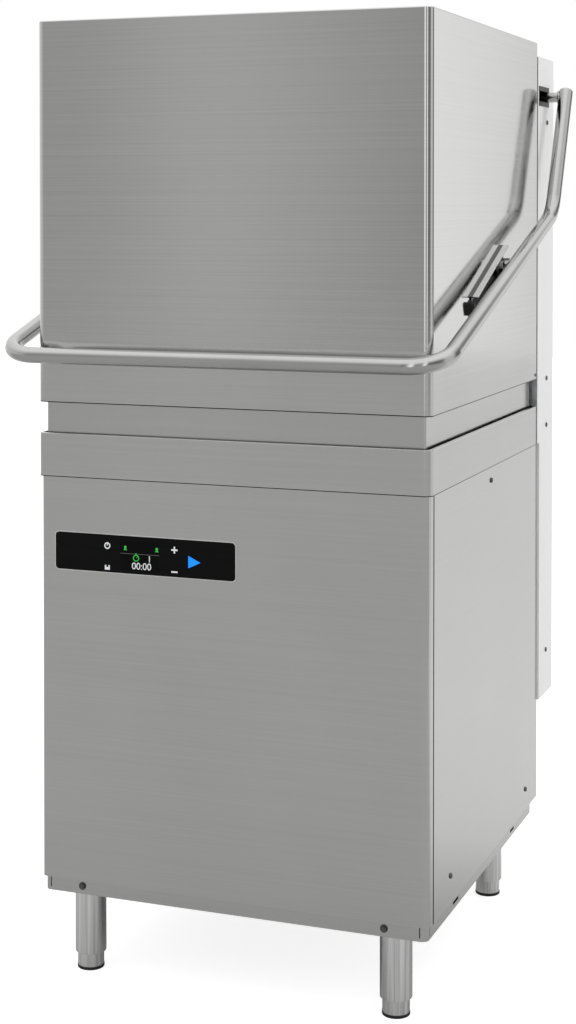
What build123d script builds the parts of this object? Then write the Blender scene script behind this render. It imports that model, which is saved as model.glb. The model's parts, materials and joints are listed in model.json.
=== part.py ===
from build123d import *
import math
import os

# A commercial pass-through (hood-type) dishwasher. Millimetres, +Z up, the front faces -Y.
# The origin is on the floor, under the middle of the whole machine's outline.

# ---- driving dimensions -------------------------------------------------------------------------
WIDTH = 640.0                 # hood and table band
HALF = WIDTH / 2
CABINET_DEPTH = 665.0         # hood front to the rear of the table band
COLUMN_BACK = 790.0           # hood front to the back of the rear column
HEIGHT = 1492.0               # hood shut
HOOD_DEPTH = 662.0
HOOD_BOTTOM = 898.0           # lower edge of the outer skin
SKIRT_BOTTOM = 842.0          # lower edge of the inner skin, which drops inside the table band
SKIRT_INSET = 11.0
BAND_BOTTOM = 782.0
BAND_TOP = 850.0
PANEL_BOTTOM = 151.0
SIDE_BOTTOM = 149.0
PAN_BOTTOM = 129.0
PANEL_INSET = 3.5             # cabinet panels stand this far inside the band
CORNER = 12.0                 # vertical corner radius of hood and band
SHEET = 1.0                   # outer skins
THIN = 0.8                    # inner skins
BODY_SHEET = 1.5              # tank, band and pan

TUBE = 12.5                   # handle tube radius
HANDLE_X = 353.0              # handle arm centreline
BAR_REACH = 59.0              # bar centreline in front of the hood
BAR_Z = 975.7
KNEE = (630.5, 1190.0)        # bend of each arm: depth behind the hood front, height
AXLE = (735.8, 1399.7)
AXLE_R = 9.0
HOOD_LIFT = 430.0             # hood travel

PIN_DEPTH = 369.0             # lifting pin on the arm, hood shut
CHANNEL_SLOPE = 0.40          # rise over run of the channel that the pin works in
CHANNEL_OFFSET = 3.9          # the pin sits this far below the channel's centreline, hood shut
CHANNEL_INNER = 21.6
CHANNEL_OUTER = 25.6
CHANNEL_PROUD = 13.5
SLEEVE_R = 6.0                # nylon sleeve on the lifting pin

FOOT_X = 253.0
FOOT_DEPTHS = (48.0, 582.0)
FOOT_TUBE_R = 24.3
FOOT_SLEEVE_R = 20.6
FOOT_GAP = 26.0               # the fixed tube stops this far above the floor
COLUMN_BOTTOM = 322.0
COLUMN_TOP = 1468.5
SUMP_X = 85.0                 # sump, strainer and wash pump are off the middle
DRAIN = (-180.0, 500.0)       # X and depth of the tank's drain
PAN_BACK = 648.0
PAN_SLOTS = ((146.0, 176.0), (503.0, 528.0))      # drain slots in the tray's side walls
BOLT_X = 247.0                # bolts in the tray's front wall
BOLT_Z = 141.5
WRAP = 25.0                   # the front panel ends this far behind the hood's front
PANEL_GAP = 4.0               # open joint between the front panel and each side panel
SIDE_BACK = 680.5             # the side panels end just in front of the column's cover
SIDE_SCREWS = ((357.0, 759.0), (120.0, 191.0), (597.0, 185.0))   # depth and height
COVER_SCREW_DEPTH = 733.0
COVER_SCREW_Z = (1354.5, 894.0, 809.5, 401.0)

FRONT = -(COLUMN_BACK + BAR_REACH + TUBE) / 2 + BAR_REACH + TUBE   # Y of the hood's front face
MIDDLE = HOOD_DEPTH / 2       # depth of the wash chamber's centre


# ---- helpers ------------------------------------------------------------------------------------
def at(x, depth, z):
    """A place given by its depth behind the hood's front face."""
    return Vector(x, FRONT + depth, z)


def block(x0, x1, d0, d1, z0, z1):
    """A box between two corners, with its Y given as depth behind the hood's front face."""
    centre = at((x0 + x1) / 2, (d0 + d1) / 2, (z0 + z1) / 2)
    return Pos(*centre) * Box(abs(x1 - x0), abs(d1 - d0), abs(z1 - z0))


def rod(start, end, radius):
    """A round bar from one point to another."""
    direction = end - start
    return extrude(Plane(start, z_dir=direction) * Circle(radius), direction.length)


def pipe(start, end, outer, inner):
    return rod(start, end, outer) - rod(start, end, inner)


def slab(x0, x1, d0, d1, z0, z1, front_radius, rear_radius):
    """A block whose four vertical edges are rounded."""
    body = block(x0, x1, d0, d1, z0, z1)
    edges = body.edges().filter_by(Axis.Z).sort_by(Axis.Y)
    body = fillet(edges[:2], front_radius)
    return fillet(body.edges().filter_by(Axis.Z).sort_by(Axis.Y)[-2:], rear_radius)


def bent_rod(points, bends, radius):
    """A round bar along straight runs joined by tangent arcs."""
    path = FilletPolyline(*points, radius=bends)
    section = Plane(path @ 0, z_dir=path % 0) * Circle(radius)
    return sweep(section, path=path)


def bent_pipe(points, bends, outer, inner):
    return bent_rod(points, bends, outer) - bent_rod(points, bends, inner)


def both_sides(shape):
    """The shape and its mirror image across the machine's middle plane."""
    return [shape, mirror(shape, Plane.YZ)]


def solids_of(shapes):
    found = []
    for shape in shapes:
        found.extend(shape.solids())
    return found


def save(name, *shapes):
    """Writes one node: a single solid, or a group of separate solids."""
    found = solids_of(shapes)
    part = found[0] if len(found) == 1 else Compound(children=found)
    export_step(part, f"parts/{name}.step")


def button(base, radius, height, rounding):
    """A short cylinder on a plane, rounded at its far end."""
    body = extrude(base * Circle(radius), height)
    rims = body.edges().filter_by(GeomType.CIRCLE).sort_by(Axis(base.origin, base.z_dir))
    return fillet(rims[-1:], rounding)


def pan_screw(head_at, outward, radius=4.2, shank=2.0, length=6.0):
    """A pan-head screw: a domed head with a cross recess outside, and a shank into the panel."""
    base = Plane(head_at, z_dir=outward)
    recess = base.offset(1.4)
    cross = extrude(recess * Rectangle(4.4, 1.1), 2) + extrude(recess * Rectangle(1.1, 4.4), 2)
    return button(base, radius, 2.2, 1.2) - cross + extrude(base * Circle(shank), -length)


def hex_bolt(head_at, outward, size=8.0, height=4.0, shank=3.0, length=12.0):
    base = Plane(head_at, z_dir=outward)
    head = extrude(base * RegularPolygon(size / 2, 6, major_radius=False), height)
    washer = extrude(base * Circle(size * 0.75), 1.0)
    return head + washer + extrude(base * Circle(shank), -length)


# ---- base and cabinet ---------------------------------------------------------------------------
def base_pan():
    """Folded bottom tray, with a relief slit in the wall on each side of both front corners."""
    outer = slab(-313, 313, 7, PAN_BACK, PAN_BOTTOM, PANEL_BOTTOM - 1, 11, 3)
    inner = slab(-313 + BODY_SHEET, 313 - BODY_SHEET, 7 + BODY_SHEET, PAN_BACK - BODY_SHEET,
                 PAN_BOTTOM + BODY_SHEET, PANEL_BOTTOM + 5, 9.5, 1.5)
    pan = outer - inner
    for side in (-1, 1):
        pan -= block(side * 301, side * 302.6, 0, 12, 134, 160)
        pan -= block(side * 305, side * 320, 20, 21.6, 134, 160)
        pan -= rod(at(side * BOLT_X, 0, BOLT_Z), at(side * BOLT_X, 12, BOLT_Z), 3.1)
        for start, end in PAN_SLOTS:
            pan -= block(side * 305, side * 320, start, end, 136.5, 141)
    return pan


def foot_places():
    return {
        "front_left": (-FOOT_X, FOOT_DEPTHS[0]),
        "front_right": (FOOT_X, FOOT_DEPTHS[0]),
        "rear_left": (-FOOT_X, FOOT_DEPTHS[1]),
        "rear_right": (FOOT_X, FOOT_DEPTHS[1]),
    }


def foot_tube(x, depth):
    """Fixed upper tube of a foot, with its mounting plate under the pan."""
    tube = rod(at(x, depth, FOOT_GAP), at(x, depth, PAN_BOTTOM - 3), FOOT_TUBE_R)
    tube = fillet(tube.edges().sort_by(Axis.Z)[:1], 1.5)
    tube -= rod(at(x, depth, FOOT_GAP - 1), at(x, depth, 100), FOOT_SLEEVE_R + 0.4)
    plate = block(x - 32, x + 32, depth - 32, depth + 32, PAN_BOTTOM - 3, PAN_BOTTOM)
    return tube + plate


def foot_sleeve(x, depth):
    """Height-adjustable lower part of a foot: the steel sleeve, and its plastic end as a second solid."""
    end_height = 5.0
    sleeve = rod(at(x, depth, end_height), at(x, depth, 62), FOOT_SLEEVE_R)
    end = rod(at(x, depth, 0), at(x, depth, end_height), FOOT_SLEEVE_R + 0.6)
    end = fillet(end.edges().sort_by(Axis.Z)[:1], 1.5)
    return [sleeve, end]


def corner_posts():
    """Four angle-section posts that carry the tank rim."""
    posts = []
    bottom = PAN_BOTTOM + BODY_SHEET
    for depth, turn in ((30, 1), (642, -1)):
        leg_a = block(274, 300, depth, depth + 2 * turn, bottom, BAND_BOTTOM - 1)
        leg_b = block(298, 300, depth, depth + 26 * turn, bottom, BAND_BOTTOM - 1)
        posts.extend(both_sides(leg_a + leg_b))
    return posts


def table_band():
    """Rim round the tank at table height, hemmed inwards at its top and bottom."""
    outer = slab(-HALF, HALF, 0, CABINET_DEPTH, BAND_BOTTOM, BAND_TOP, CORNER, CORNER)
    outer = fillet(outer.edges().group_by(Axis.Z)[-1], 1.2)
    s = BODY_SHEET
    cavity = slab(-HALF + s, HALF - s, s, CABINET_DEPTH - s, BAND_BOTTOM + s, BAND_TOP - s,
                  CORNER - s, CORNER - s)
    mouth = slab(-HALF + 5, HALF - 5, 5, CABINET_DEPTH - 5, BAND_TOP - 5, BAND_TOP + 5, 7, 7)
    under = slab(-HALF + 14, HALF - 14, 14, CABINET_DEPTH - 14, BAND_BOTTOM - 5, BAND_BOTTOM + 5, 3, 3)
    return outer - cavity - mouth - under


TANK_HALF = 266.0             # the tank is square, about the middle of the wash chamber
TANK_BOTTOM = 640.0
SUMP_R = 52.0
SUMP_BOTTOM = 590.0
GUTTER_Z = 812.0
TANK_HOLES = (
    (*DRAIN, 21),             # drain
    (0, MIDDLE, 16.2),        # lower spindle
)
RISER_HOLES = ((0, 625, 16.2), (40, 625, 8.2))    # wash and rinse risers, through the gutter


def tank_gutter():
    """Flat rim inside the table band that leads water from the hood's skirt back into the tank."""
    flange = slab(-318, 318, 2, 663, GUTTER_Z, GUTTER_Z + BODY_SHEET, 10, 10)
    mouth = block(-TANK_HALF, TANK_HALF, MIDDLE - TANK_HALF, MIDDLE + TANK_HALF, GUTTER_Z - 5, GUTTER_Z + 5)
    gutter = flange - mouth
    for x, depth, radius in RISER_HOLES:
        gutter -= rod(at(x, depth, GUTTER_Z - 10), at(x, depth, GUTTER_Z + 10), radius)
    return gutter


def wash_tank():
    """Tank welded from five flat sheets, with a pressed sump and two ledges for the filters."""
    s = BODY_SHEET
    half = TANK_HALF
    near, far = MIDDLE - half, MIDDLE + half
    top = GUTTER_Z + s
    ends = [block(-half, half, near, near + s, TANK_BOTTOM, top), block(-half, half, far - s, far, TANK_BOTTOM, top)]
    sides = both_sides(block(half - s, half, near + s, far - s, TANK_BOTTOM, top))
    floor = block(-half + s, half - s, near + s, far - s, TANK_BOTTOM, TANK_BOTTOM + s)
    for x, depth, radius in (*TANK_HOLES, (SUMP_X, MIDDLE, SUMP_R - s)):
        floor -= rod(at(x, depth, TANK_BOTTOM - 5), at(x, depth, TANK_BOTTOM + 5), radius)
    centre = (SUMP_X, MIDDLE)
    sump = rod(at(*centre, SUMP_BOTTOM), at(*centre, TANK_BOTTOM), SUMP_R)
    sump -= rod(at(*centre, SUMP_BOTTOM + s), at(*centre, TANK_BOTTOM + 5), SUMP_R - s)
    sump -= rod(at(*centre, SUMP_BOTTOM - 5), at(*centre, SUMP_BOTTOM + 5), 20)
    ledges = [block(-230, 230, depth, depth + 20, 760, 762) for depth in (near + s, far - s - 20)]
    return [*ends, *sides, floor, sump, *ledges]


PANEL_X = (-290.0, 13.0)
PANEL_Z = (638.0, 696.0)
SCREEN_X = (-178.5, -112.5)
SCREEN_Z = (643.5, 689.0)


def front_panel():
    """Front sheet, wrapped round both front corners and folded in at the top and bottom."""
    edge = HALF - PANEL_INSET
    top = BAND_BOTTOM - 0.6
    outer = slab(-edge, edge, PANEL_INSET, 60, PANEL_BOTTOM, top, 10, 2)
    inner = slab(-edge + SHEET, edge - SHEET, PANEL_INSET + SHEET, 62,
                 PANEL_BOTTOM + SHEET, top - SHEET, 10 - SHEET, 1)
    panel = outer - inner - block(-400, 400, WRAP, 80, 100, 900)
    cut = block(PANEL_X[0] + 5, PANEL_X[1] - 5, -5, 17, PANEL_Z[0] + 5, PANEL_Z[1] - 5)
    return panel - cut


def side_panel():
    """Right-hand side sheet, folded in along its front edge."""
    edge = HALF - PANEL_INSET
    front = WRAP + PANEL_GAP
    top = BAND_BOTTOM - 0.6
    panel = block(edge - SHEET, edge, front, SIDE_BACK, SIDE_BOTTOM, top)
    panel += block(edge - 14, edge, front, front + SHEET, PANEL_BOTTOM, top)
    for depth, z in SIDE_SCREWS:
        panel -= rod(at(300, depth, z), at(330, depth, z), 2.1)
    return fillet(panel.edges().filter_by(Axis.Z).group_by(Axis.Y)[0].sort_by(Axis.X)[-1:], 0.8)


def rear_panel():
    panel = block(-300, 300, 661.5, 661.5 + SHEET, PANEL_BOTTOM, BAND_BOTTOM - 1)
    for x, z, radius in ((200, 235, 13.6), (-60, 200, 20.4), (-220, 260, 10.4)):
        panel -= rod(at(x, 655, z), at(x, 670, z), radius)
    return panel


def control_fascia():
    """Glossy fascia: a rounded front plate and a housing behind it, with a pocket for the display."""
    x0, x1 = PANEL_X
    z0, z1 = PANEL_Z
    plate = block(x0, x1, PANEL_INSET - 1.4, PANEL_INSET, z0, z1)
    plate = fillet(plate.edges().filter_by(Axis.Y), 6)
    plate = fillet(plate.faces().sort_by(Axis.Y)[0].edges(), 0.6)
    housing = block(x0 + 6, x1 - 6, PANEL_INSET, 15, z0 + 6, z1 - 6)
    fascia = plate + housing
    return fascia - block(SCREEN_X[0], SCREEN_X[1], -5, PANEL_INSET + 1, SCREEN_Z[0], SCREEN_Z[1])


def display_screen():
    return block(SCREEN_X[0], SCREEN_X[1], PANEL_INSET - 1.3, PANEL_INSET + 1, SCREEN_Z[0], SCREEN_Z[1])


# ---- rear column --------------------------------------------------------------------------------
RAIL_X = (245.0, 272.0)       # guide rail: open edge and web
RAIL_D = (672.0, 702.0)
SHOE_Z = (912.0, 1008.0)      # guide shoes on the hood, hood shut
SHOE_HALF = 12.0
RAIL_Z = (856.0, SHOE_Z[1] + SHOE_HALF + HOOD_LIFT + 14)
LEVER_X = 150.0
LEVER_LENGTH = 38.0
LEVER_ANGLE = 40.0            # above the horizontal, pointing to the rear, hood shut
BUSH_D = (671.0, 746.0)       # slotted bearing block in the column's side
BUSH_HALF = 17.5


def bush_window(x0, x1):
    """The block's opening in a side of the column, on both sides of the machine."""
    z = AXLE[1]
    return both_sides(block(x0, x1, *BUSH_D, z - BUSH_HALF, z + BUSH_HALF))


def lever_end(x):
    angle = math.radians(LEVER_ANGLE)
    return at(x, AXLE[0] + LEVER_LENGTH * math.cos(angle), AXLE[1] + LEVER_LENGTH * math.sin(angle))


def spring_depth():
    return lever_end(LEVER_X).Y - FRONT


def column_frame():
    """Welded frame: two flanged side posts, a base plate, a top tie and the bar that anchors the springs."""
    parts = []
    post = block(316.4, 318.4, 668, 783, COLUMN_BOTTOM + 2, 1466)
    post += block(272, 318.4, 668, 669.6, COLUMN_BOTTOM + 2, 1466)
    post -= block(314.5, 330, 660, SIDE_BACK + 5, 300, BAND_BOTTOM + 1)
    post -= bush_window(310, 325)[0]
    for z in COVER_SCREW_Z:
        post -= rod(at(310, COVER_SCREW_DEPTH, z), at(325, COVER_SCREW_DEPTH, z), 2.1)
    parts.extend(both_sides(post))
    parts.append(block(-318.4, 318.4, SIDE_BACK + 5, 783, COLUMN_BOTTOM, COLUMN_BOTTOM + 2))
    parts.append(block(-314.5, 314.5, 668, SIDE_BACK + 5, COLUMN_BOTTOM, COLUMN_BOTTOM + 2))
    parts.append(block(-316.4, 316.4, 704, 716, 1450, 1464))
    bar = block(-316.4, 316.4, 752, 780, 872, 890)
    for x in (-LEVER_X, LEVER_X):
        bar -= rod(at(x, spring_depth(), 860), at(x, spring_depth(), 900), 4.2)
    parts.append(bar)
    frame = parts[0]
    for piece in parts[1:]:
        frame += piece
    return frame


def guide_rail():
    """Right-hand C-section rail, open towards the middle, for the hood's guide shoes."""
    rail = block(RAIL_X[0], RAIL_X[1], RAIL_D[0], RAIL_D[1], RAIL_Z[0], RAIL_Z[1])
    return rail - block(RAIL_X[0] - 5, RAIL_X[1] - 2, RAIL_D[0] + 2, RAIL_D[1] - 2, 800, 1500)


def column_front_panel():
    panel = block(-228, 228, 668, 669.2, COLUMN_BOTTOM + 3, 1448)
    lips = block(-228, -226.8, 669.2, 682, COLUMN_BOTTOM + 3, 1448)
    return panel + lips + mirror(lips, Plane.YZ)


def column_cover():
    """Rear cover: two sides, a back and a cap; below the table the sides turn in behind the side panels."""
    outer = slab(-HALF, HALF, 600, COLUMN_BACK, COLUMN_BOTTOM, COLUMN_TOP, 2, 6)
    inner = slab(-HALF + SHEET, HALF - SHEET, 590, COLUMN_BACK - SHEET,
                 COLUMN_BOTTOM - 5, COLUMN_TOP - SHEET, 2, 6 - SHEET)
    cover = outer - inner - block(-400, 400, 580, 665.8, 300, 1500)
    edge = SIDE_BACK + 0.8
    cover -= block(-400, 400, 580, edge, 300, BAND_BOTTOM + 0.5)
    for lip in both_sides(block(315, HALF - 0.5, edge, edge + SHEET, COLUMN_BOTTOM, BAND_BOTTOM)):
        cover += lip
    for z in COVER_SCREW_Z:
        cover -= rod(at(-330, COVER_SCREW_DEPTH, z), at(330, COVER_SCREW_DEPTH, z), 2.1)
    for window in bush_window(310, 330):
        cover -= window
    return cover


def axle_bush():
    """Black bearing block in the column's right-hand side: the bush inside, and a fork open to the front."""
    d, z = AXLE
    bush = block(286, 300, d - 26, BUSH_D[1] + 10, z - BUSH_HALF, z + BUSH_HALF)
    bush -= rod(at(280, d, z), at(310, d, z), AXLE_R + 0.05)
    fork = block(300, HALF + 1, *BUSH_D, z - BUSH_HALF, z + BUSH_HALF)
    slot = AXLE_R + 0.4
    fork -= block(290, 330, BUSH_D[0] - 5, d, z - slot, z + slot)
    fork -= rod(at(290, d, z), at(330, d, z), slot)
    return bush + fork


def counterbalance_spring(x):
    """Tension spring as its outer envelope, with a hook on the lever pin and an eye bolt at its foot."""
    top = lever_end(x)
    coil_top = top.Z - 26
    depth = spring_depth()
    coil = pipe(at(x, depth, 960), at(x, depth, coil_top), 13, 8)
    for end in (960, coil_top - 6):
        coil += rod(at(x, depth, end), at(x, depth, end + 6), 9)
    hook_x = x + math.copysign(10, x)
    hook = bent_rod([at(x, depth, coil_top - 4), at(x, depth, coil_top + 8),
                     at(hook_x, depth, coil_top + 14), at(hook_x, depth, top.Z - 6.5)], [4, 4], 2)
    stem = rod(at(x, depth, 960), at(x, depth, 868), 4)
    nut = extrude(Plane(at(x, depth, 864)) * RegularPolygon(7, 6), 6)
    return coil + hook + stem + nut


# ---- hood ---------------------------------------------------------------------------------------
def hood_shell():
    """Outer skin of the hood: front, sides, back and top, turned in at the bottom to meet the inner skin."""
    outer = slab(-HALF, HALF, 0, HOOD_DEPTH, HOOD_BOTTOM, HEIGHT, CORNER, 6)
    outer = fillet(outer.faces().sort_by(Axis.Z)[-1].edges(), 2.5)
    s = SHEET
    cavity = slab(-HALF + s, HALF - s, s, HOOD_DEPTH - s, HOOD_BOTTOM + s, HEIGHT - s, CORNER - s, 6 - s)
    inset = SKIRT_INSET
    mouth = slab(-HALF + inset, HALF - inset, inset, HOOD_DEPTH - inset,
                 HOOD_BOTTOM - 5, HOOD_BOTTOM + 5, 3, 3)
    return outer - cavity - mouth


def hood_liner():
    """Inner skin, a box open at the bottom, whose lower edge is the skirt."""
    inset = SKIRT_INSET
    outer = slab(-HALF + inset, HALF - inset, inset, HOOD_DEPTH - inset, SKIRT_BOTTOM, 1478, 3, 3)
    inner = slab(-HALF + inset + THIN, HALF - inset - THIN, inset + THIN, HOOD_DEPTH - inset - THIN,
                 SKIRT_BOTTOM - 5, 1478 - THIN, 2, 2)
    return outer - inner


def arm_height(depth):
    """Height of the handle arm's centreline between the bar and the knee."""
    rise = (KNEE[1] - BAR_Z) / (KNEE[0] + BAR_REACH)
    return BAR_Z + (depth + BAR_REACH) * rise


def channel_plane():
    """On the hood's right side: X along the channel, up to the rear, and Z outwards."""
    drop = CHANNEL_OFFSET * math.hypot(1, CHANNEL_SLOPE)
    origin = at(HALF, PIN_DEPTH, arm_height(PIN_DEPTH) + drop)
    return Plane(origin, x_dir=(0, 1, CHANNEL_SLOPE), z_dir=(1, 0, 0))


CHANNEL_FROM = -165.0         # along the channel from the pin, towards the front
CHANNEL_TO = 41.7


def lift_channel():
    """Right-hand lifting channel: a lipped C-section on two feet, closed at its rear end."""
    plane = channel_plane()
    centre = (CHANNEL_FROM + CHANNEL_TO) / 2
    length = CHANNEL_TO - CHANNEL_FROM
    body = plane * Pos(centre, 0, CHANNEL_PROUD / 2) * Box(length, CHANNEL_OUTER, CHANNEL_PROUD)
    slot = plane * Pos(centre, 0, CHANNEL_PROUD / 2 + 2) * Box(length + 10, CHANNEL_INNER, CHANNEL_PROUD)
    body -= slot
    rims = body.edges().filter_by(Axis(plane.origin, plane.x_dir)).group_by(Axis.X)[-1]
    body = fillet(rims, 0.8)
    return body + plane * Pos(centre, -CHANNEL_OUTER / 2 - 5, 1) * Box(length - 30, 12, 2)


def lift_stop():
    """Rubber stop on a small plate at the channel's lower end, on the hood's right side."""
    plane = channel_plane()
    along = CHANNEL_FROM - 9
    plate = plane * Pos(along, -4, 1) * Box(13, 26, 2)
    rubber = plane * Pos(along, -4, 5) * Box(10, 22, 8)
    ends = rubber.edges().filter_by(Axis.X)
    return plate + fillet(ends, 4.5)


def carriage_bracket():
    """Right-hand bracket on the hood's back, with an arm and a pin for each guide shoe."""
    bracket = block(214, 246, HOOD_DEPTH, HOOD_DEPTH + 2.4, 900, 1030)
    for z in SHOE_Z:
        bracket += block(236, 240, HOOD_DEPTH + 1, 694, z - SHOE_HALF, z + SHOE_HALF)
        bracket += rod(at(238, 687, z), at(266, 687, z), 5)
    return bracket


def guide_shoes():
    shoes = []
    middle = (RAIL_D[0] + RAIL_D[1]) / 2
    for z in SHOE_Z:
        shoe = block(243, 267, middle - 12.5, middle + 12.5, z - SHOE_HALF, z + SHOE_HALF)
        shoe = fillet(shoe.edges().filter_by(Axis.X), 3)
        shoe -= rod(at(235, 687, z), at(270, 687, z), 5)
        shoes.extend(both_sides(shoe))
    return shoes


# ---- handle -------------------------------------------------------------------------------------
def handle_points():
    d, z = AXLE
    run = math.hypot(d - KNEE[0], z - KNEE[1])
    over = 9.0                # the tube runs on past the axle, and is closed by a dome
    end = (d + (d - KNEE[0]) / run * over, z + (z - KNEE[1]) / run * over)
    right = [at(HANDLE_X, *end), at(HANDLE_X, *KNEE), at(HANDLE_X, -BAR_REACH, BAR_Z)]
    left = [Vector(-p.X, p.Y, p.Z) for p in reversed(right)]
    return right + left


HANDLE_BENDS = [75.0, 57.0, 57.0, 75.0]


def handle_tube():
    """One bent tube: the front bar, both arms and a domed cap on each end."""
    points = handle_points()
    tube = bent_pipe(points, HANDLE_BENDS, TUBE, TUBE - 1.5)
    for end, inner in ((points[0], points[1]), (points[-1], points[-2])):
        outward = (end - inner).normalized()
        tube += button(Plane(end, z_dir=outward), TUBE, 6, 5)
    return tube


def handle_axle():
    """Axle between the two arms, coped to the round of each tube."""
    axle = rod(at(-HANDLE_X, *AXLE), at(HANDLE_X, *AXLE), AXLE_R)
    points = handle_points()
    for end, knee in ((points[0], points[1]), (points[-1], points[-2])):
        outward = (end - knee).normalized()
        axle -= rod(knee, end + outward * 20, TUBE)
    return axle


def spring_lever(x):
    """Lever clamped on the axle, with a pin for the spring's hook."""
    pivot = at(x, *AXLE)
    end = lever_end(x)
    side = Vector(1, 0, 0)
    hub = rod(pivot - side * 8, pivot + side * 8, 16)
    eye = rod(end - side * 3, end + side * 3, 7)
    angle = LEVER_ANGLE
    arm = Pos(*((pivot + end) * 0.5)) * Rot(angle, 0, 0) * Box(6, LEVER_LENGTH, 13)
    outer = math.copysign(16, x)
    pin = rod(end, end + side * outer, 4)
    head = rod(end + side * outer, end + side * (outer + math.copysign(2, x)), 6)
    return hub + eye + arm + pin + head - rod(pivot - side * 20, pivot + side * 20, AXLE_R)


def lift_pin():
    """Pin from the inside of the right-hand arm into the channel, with its nylon sleeve's collar."""
    place = at(HANDLE_X, PIN_DEPTH, arm_height(PIN_DEPTH))
    inward = Vector(-1, 0, 0)
    base = place + inward * (HANDLE_X - HALF - 5)
    pin = rod(base, place, 4)
    collar = rod(at(HALF + CHANNEL_PROUD + 0.6, PIN_DEPTH, place.Z), place, 7)
    knee = at(HANDLE_X, *KNEE)
    bar = at(HANDLE_X, -BAR_REACH, BAR_Z)
    return pin + collar - rod(bar, knee, TUBE)


def lift_sleeve():
    z = arm_height(PIN_DEPTH)
    inner = at(HALF + 5, PIN_DEPTH, z)
    outer = at(HALF + CHANNEL_PROUD, PIN_DEPTH, z)
    return pipe(inner, outer, SLEEVE_R, 4)


# ---- wash and rinse system ----------------------------------------------------------------------
ARM_Z = {"lower_rinse": 832.0, "lower_wash": 798.0, "upper_rinse": 1356.0, "upper_wash": 1390.0}
SPINDLE_R = 9.0


def lower_spindle():
    """Standpipe up through the tank floor, with the spindle, collar and nut of the lower arms."""
    spindle = pipe(at(0, MIDDLE, 600), at(0, MIDDLE, 782), 16, 13)
    spindle += rod(at(0, MIDDLE, 782), at(0, MIDDLE, 785.6), 16)
    spindle += rod(at(0, MIDDLE, 785), at(0, MIDDLE, 849), SPINDLE_R)
    spindle += rod(at(0, MIDDLE, 810.4), at(0, MIDDLE, 822.6), 13)
    spindle += extrude(Plane(at(0, MIDDLE, 841.4)) * RegularPolygon(13, 6), 7.6)
    return spindle


def wash_riser():
    """Pipe up the back of the chamber and forward to the spindle that carries the upper arms."""
    riser = bent_pipe([at(0, 625, 700), at(0, 625, 1430), at(0, MIDDLE, 1430)], [45], 16, 14)
    riser += rod(at(0, MIDDLE, 1340), at(0, MIDDLE, 1444), SPINDLE_R)
    riser += extrude(Plane(at(0, MIDDLE, 1339)) * RegularPolygon(13, 6), 7.6)
    riser += rod(at(0, MIDDLE, 1365.4), at(0, MIDDLE, 1377.6), 13)
    riser += rod(at(0, MIDDLE, 1402.4), at(0, MIDDLE, 1448), 18)
    return riser


def rinse_riser():
    return bent_pipe([at(40, 625, 700), at(40, 625, 1445), at(40, MIDDLE, 1445), at(19, MIDDLE, 1445)],
                     [30, 18], 8, 6.5)


def spray_arm(z, length, width, height, nozzle_side, nozzles):
    """Two-ended spray arm on a round hub, with a row of nozzles on one face."""
    half = length / 2
    centre = at(0, MIDDLE, z)
    arm = Pos(*centre) * Box(length - width, width, height)
    for side in (-1, 1):
        arm += Pos(centre.X + side * (half - width / 2), centre.Y, centre.Z) * Cylinder(width / 2, height)
    rims = arm.faces().filter_by(Axis.Z)
    arm = fillet(rims.edges(), height * 0.3)
    arm += rod(at(0, MIDDLE, z - height / 2 - 3), at(0, MIDDLE, z + height / 2 + 3), 24)
    face = z + nozzle_side * height / 2
    for index in range(nozzles):
        for side in (-1, 1):
            x = side * (60 + index * (half - 90) / (nozzles - 1))
            arm += rod(at(x, MIDDLE, face - nozzle_side), at(x, MIDDLE, face + nozzle_side * 3), 6)
            arm -= rod(at(x, MIDDLE, z), at(x, MIDDLE, face + nozzle_side * 8), 2.4)
    return arm - rod(at(0, MIDDLE, z - 40), at(0, MIDDLE, z + 40), SPINDLE_R + 0.05)


def rack_rail(depth):
    """Angle rail that carries one edge of the rack across the chamber, on two feet."""
    turn = 1 if depth < MIDDLE else -1
    rail = block(-295, 295, depth, depth + 22 * turn, 852, 854)
    rail += block(-295, 295, depth, depth + 2 * turn, 838, 870)
    for x in (-280, 280):
        rail += block(x - 8, x + 8, depth, depth + 2 * turn, 813.5, 840)
        rail += block(x - 8, x + 8, depth, depth + 16 * turn, 813.5, 815.5)
    return rail


def tank_filter(rear):
    """Half of the surface filter: a slotted tray with a turned-up rim and a lifting loop."""
    near = MIDDLE + 1 if rear else MIDDLE - 245
    far = near + 244
    tray = block(-250, 250, near, far, 762.2, 763.4)
    rim = block(-250, 250, near, far, 763.2, 771) - block(-248.8, 248.8, near + 1.2, far - 1.2, 760, 780)
    tray += rim
    for row in range(9):
        for column in range(5):
            x = -200 + column * 100
            d = near + 26 + row * 24
            tray -= block(x - 38, x + 38, d - 3, d + 3, 760, 766)
    tray -= rod(at(0, MIDDLE, 750), at(0, MIDDLE, 780), 30)
    if rear:
        tray -= rod(at(*DRAIN, 750), at(*DRAIN, 780), 24)
    return tray


def suction_filter():
    """Round strainer over the sump."""
    body = pipe(at(SUMP_X, MIDDLE, 641.6), at(SUMP_X, MIDDLE, 663), 56, 54)
    body += rod(at(SUMP_X, MIDDLE, 661), at(SUMP_X, MIDDLE, 663), 56)
    for index in range(12):
        turn = Rot(0, 0, index * 30)
        body -= Pos(*at(SUMP_X, MIDDLE, 651)) * turn * Pos(55, 0, 0) * Box(8, 12, 12)
    return body


def overflow_standpipe():
    body = pipe(at(*DRAIN, 642), at(*DRAIN, 752), 18, 15.5)
    return body + pipe(at(*DRAIN, 752), at(*DRAIN, 756), 22, 15.5)


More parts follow.
